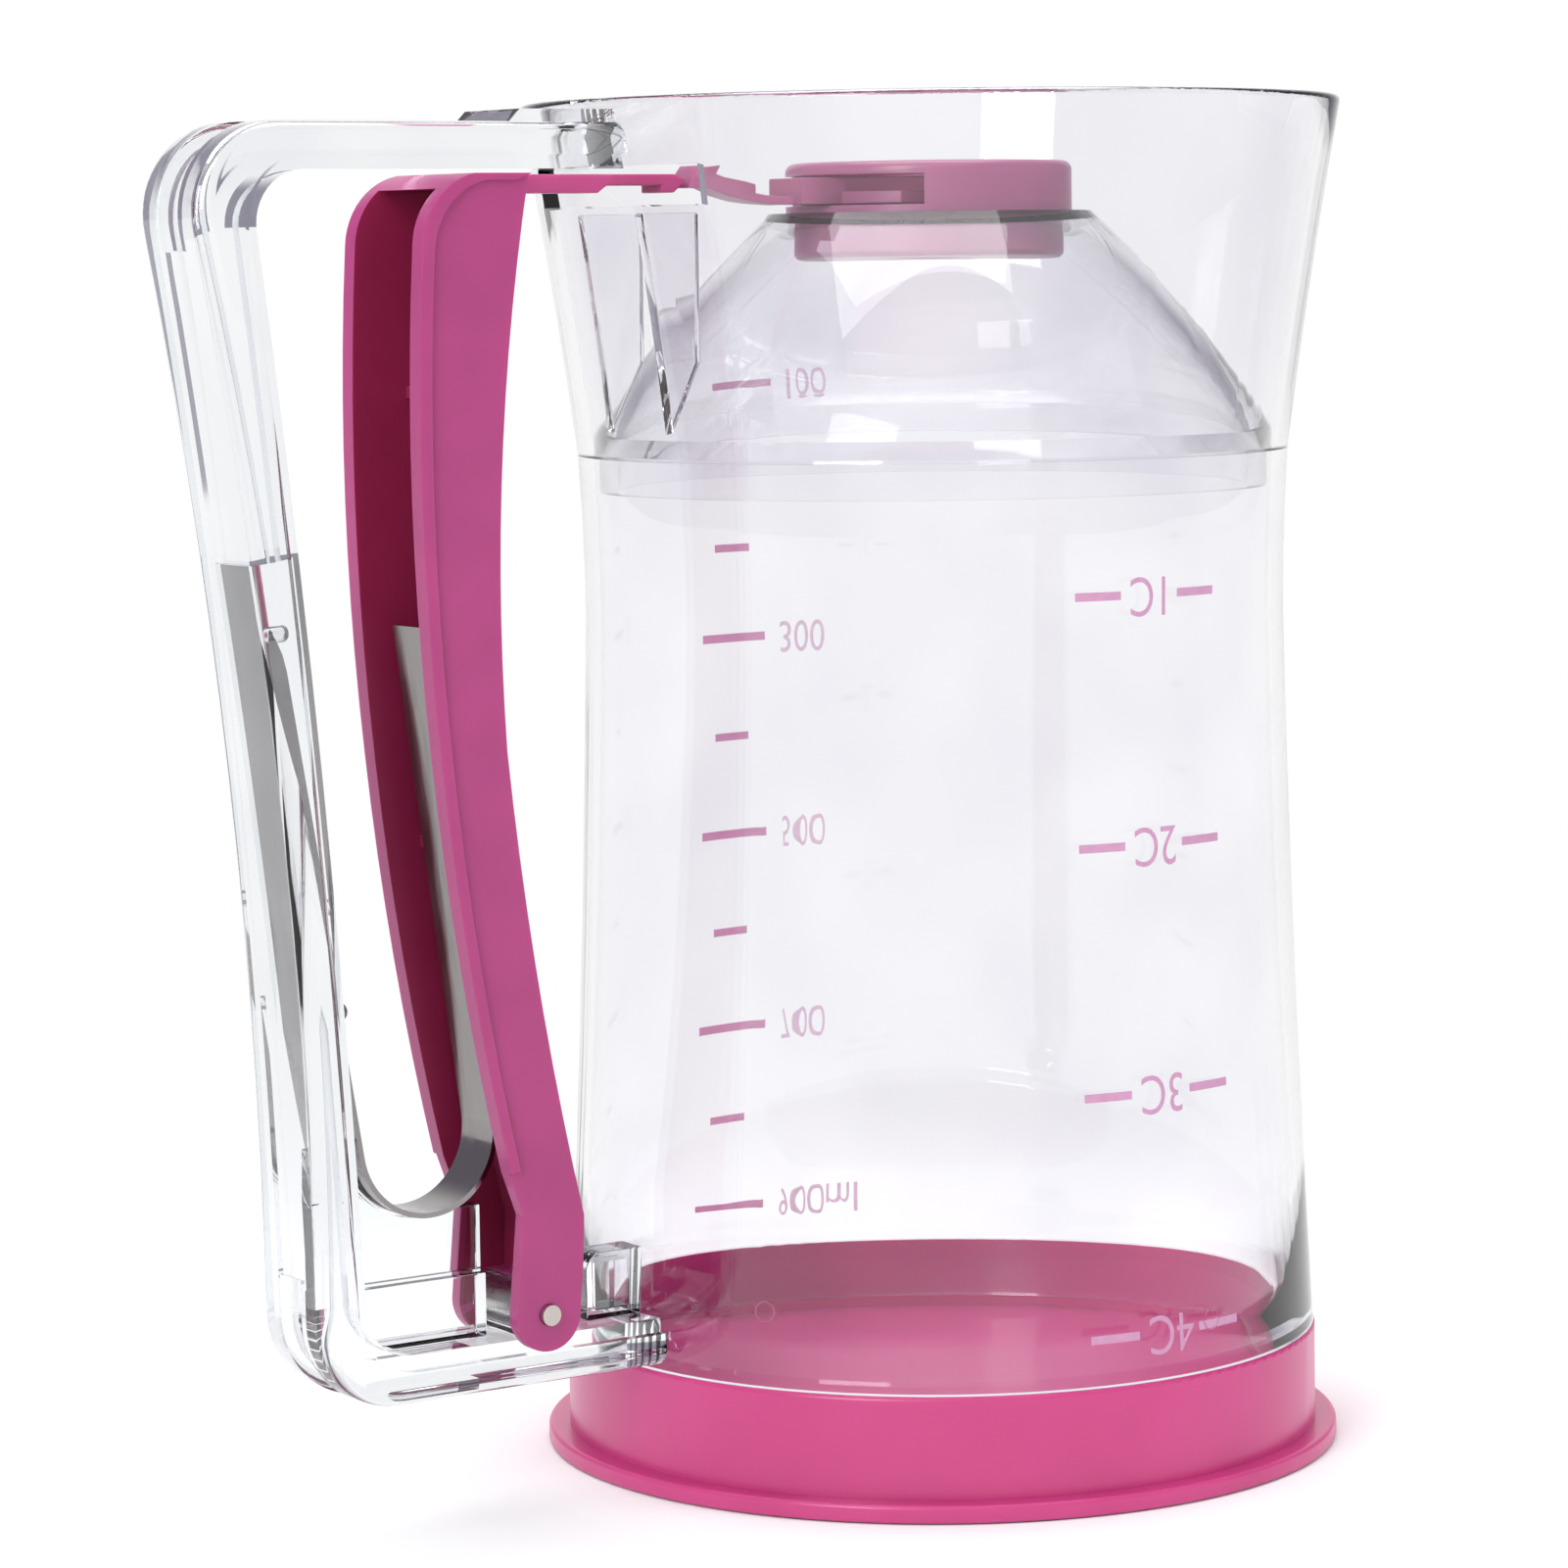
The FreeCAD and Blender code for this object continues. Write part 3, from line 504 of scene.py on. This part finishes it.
# %% [markdown]
# ## The printed scales
#
# Each mark is made flat, then wrapped on the container. To wrap it, every corner is sent to its own angle and height,
# and a ray towards the axis finds the wall there. The scales are read with the dispenser in use, the other way up, so
# they run upside down here.

# %% Wrap a flat shape on the container's wall
INK_GAP = 0.00006
LETTER_WIDTH = 0.82
CAPITAL_SHARE = 0.69
wall = bmesh.new()
for node in ("container_shell", "stand_skirt"):
    wall.from_mesh(dressed[node].data)
wall_tree = BVHTree.FromBMesh(wall)
wall.free()
WALL_RADIUS = 50 * MM
RAY_START = 100 * MM


def on_wall(angle, height, gap):
    outward = Vector((math.cos(angle), math.sin(angle), 0.0))
    start = outward * RAY_START + Vector((0, 0, height))
    hit = wall_tree.ray_cast(start, -outward)[0]
    return hit + outward * gap


def wrap(shape, degrees, height):
    """Sends flat X to the angle and flat Y to the height, both turned over, onto the wall."""
    for vert in shape.verts:
        angle = math.radians(degrees) - vert.co.x / WALL_RADIUS
        vert.co = on_wall(angle, height - vert.co.y, INK_GAP + vert.co.z)


def flat_bar(width, height):
    shape = bmesh.new()
    bmesh.ops.create_grid(shape, x_segments=12, y_segments=1, size=0.5)
    bmesh.ops.scale(shape, vec=(width, height, 1), verts=shape.verts)
    return shape


def flat_text(words, height):
    """Flat letters, a little narrower than the font draws them."""
    curve = bpy.data.curves.new(words, "FONT")
    curve.body = words
    curve.size = height / CAPITAL_SHARE
    curve.align_x = "LEFT"
    curve.align_y = "CENTER"
    holder = new_object(words, curve)
    mesh = bpy.data.meshes.new_from_object(holder)
    bpy.data.objects.remove(holder)
    shape = bmesh.new()
    shape.from_mesh(mesh)
    bpy.data.meshes.remove(mesh)
    bmesh.ops.scale(shape, vec=(LETTER_WIDTH, 1, 1), verts=shape.verts)
    return shape


def add_printed(target, shape, degrees, height):
    wrap(shape, degrees, height)
    part = bpy.data.meshes.new("part")
    shape.to_mesh(part)
    shape.free()
    target.from_mesh(part)
    bpy.data.meshes.remove(part)


def added_piece(name, shape, finish):
    """Makes one piece from a shape. It rides the container."""
    mesh = bpy.data.meshes.new(name)
    shape.to_mesh(mesh)
    shape.free()
    mesh.materials.append(finish)
    piece = new_object(name, mesh)
    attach(piece, "container")
    return piece


# %% [markdown]
# The millilitre scale is on the far side, so the camera sees it through the container. It has five long marks with
# numbers, and a short mark between each two.

# %% Print the millilitre scale
LONG_MARKS = {145.2: "100", 111.0: "300", 81.6: "500", 52.5: "700", 24.9: "900"}
SHORT_MARKS = (124.4, 96.3, 67.0, 38.6)
LONG_BAR = (12.4 * MM, 1.25 * MM)
SHORT_BAR = (6.8 * MM, 1.15 * MM)
DIGIT_HEIGHT = 4.6 * MM
LONG_DEGREES = 93.2
SHORT_DEGREES = 93.3
NUMBER_DEGREES = 83.4
UNIT_DEGREES = 74.0
marks = bmesh.new()
numbers = bmesh.new()
for height, number in LONG_MARKS.items():
    add_printed(marks, flat_bar(*LONG_BAR), LONG_DEGREES, height * MM)
    add_printed(numbers, flat_text(number, DIGIT_HEIGHT), NUMBER_DEGREES, height * MM)
add_printed(numbers, flat_text("ml", DIGIT_HEIGHT), UNIT_DEGREES, min(LONG_MARKS) * MM)
for height in SHORT_MARKS:
    add_printed(marks, flat_bar(*SHORT_BAR), SHORT_DEGREES, height * MM)
millilitre_marks = added_piece("millilitre_marks", marks, mark_ink)
millilitre_numbers = added_piece("millilitre_numbers", numbers, number_ink)
print("Millilitre faces:", len(millilitre_marks.data.polygons), "and", len(millilitre_numbers.data.polygons))

# %% [markdown]
# The cup scale is on the side nearer the camera. Each number has a dash on either side of it.

# %% Print the cup scale
CUP_MARKS = {122.0: "1C", 88.6: "2C", 55.3: "3C", 22.9: "4C"}
CUP_HEIGHT = 5.2 * MM
RIGHT_DASH = (7.3 * MM, 1.15 * MM)
LEFT_DASH = (7.0 * MM, 1.15 * MM)
RIGHT_DEGREES = -80.5
CUP_DEGREES = -85.7
LEFT_DEGREES = -99.7
scale = bmesh.new()
for height, cups in CUP_MARKS.items():
    add_printed(scale, flat_bar(*RIGHT_DASH), RIGHT_DEGREES, height * MM)
    add_printed(scale, flat_text(cups, CUP_HEIGHT), CUP_DEGREES, height * MM)
    add_printed(scale, flat_bar(*LEFT_DASH), LEFT_DEGREES, height * MM)
cup_print = added_piece("cup_print", scale, cup_ink)
print("Cup scale faces:", len(cup_print.data.polygons))

# %% [markdown]
# ## Small moulded marks
#
# Three small pegs in the handle keep the spring's rear leg in its channel. Each is a squashed ball. Two ring marks near
# the container's foot were left by the pins that push the part out of its mould.

# %% Add the pegs and the ring marks
PEG_HEIGHTS = (120 * MM, 84 * MM, 70 * MM)
PEG_RADIUS = 1.1 * MM
PEG_SQUASH = Matrix.Diagonal((0.6, 0.9, 1.0, 1.0))
PEG_FORWARD = 0.9 * MM
PEG_ASIDE = 3.6 * MM
SPRING_LEG_FOOT = Vector((-96.4 * MM, 0.0, 50.2 * MM))
SPRING_LEG_LEAN = -12.9 / 78.9


def spring_leg_at(height):
    """How far back the spring's straight rear leg is at one height."""
    return SPRING_LEG_FOOT.x + (height - SPRING_LEG_FOOT.z) * SPRING_LEG_LEAN


shape = bmesh.new()
for height in PEG_HEIGHTS:
    for side in (-1, 1):
        centre = Vector((spring_leg_at(height) + PEG_FORWARD, side * PEG_ASIDE, height))
        place = Matrix.Translation(centre) @ PEG_SQUASH
        bmesh.ops.create_uvsphere(shape, u_segments=16, v_segments=8, radius=PEG_RADIUS, matrix=place)
for face in shape.faces:
    face.smooth = True
added_piece("spring_pegs", shape, clear_handle)

RING_MARKS = ((-152.6, 26.8 * MM), (-82.1, 23.5 * MM))
RING_RADII = (1.25 * MM, 1.45 * MM)
shape = bmesh.new()
for degrees, height in RING_MARKS:
    ring = bmesh.new()
    for radius in RING_RADII:
        bmesh.ops.create_circle(ring, segments=32, radius=radius)
    bmesh.ops.bridge_loops(ring, edges=ring.edges)
    add_printed(shape, ring, degrees, height)
for face in shape.faces:
    face.smooth = True
added_piece("ring_marks", shape, seal)
print("Pegs:", len(PEG_HEIGHTS) * 2, "ring marks:", len(RING_MARKS))

# %% [markdown]
# ## The end
#


print("Scene built")
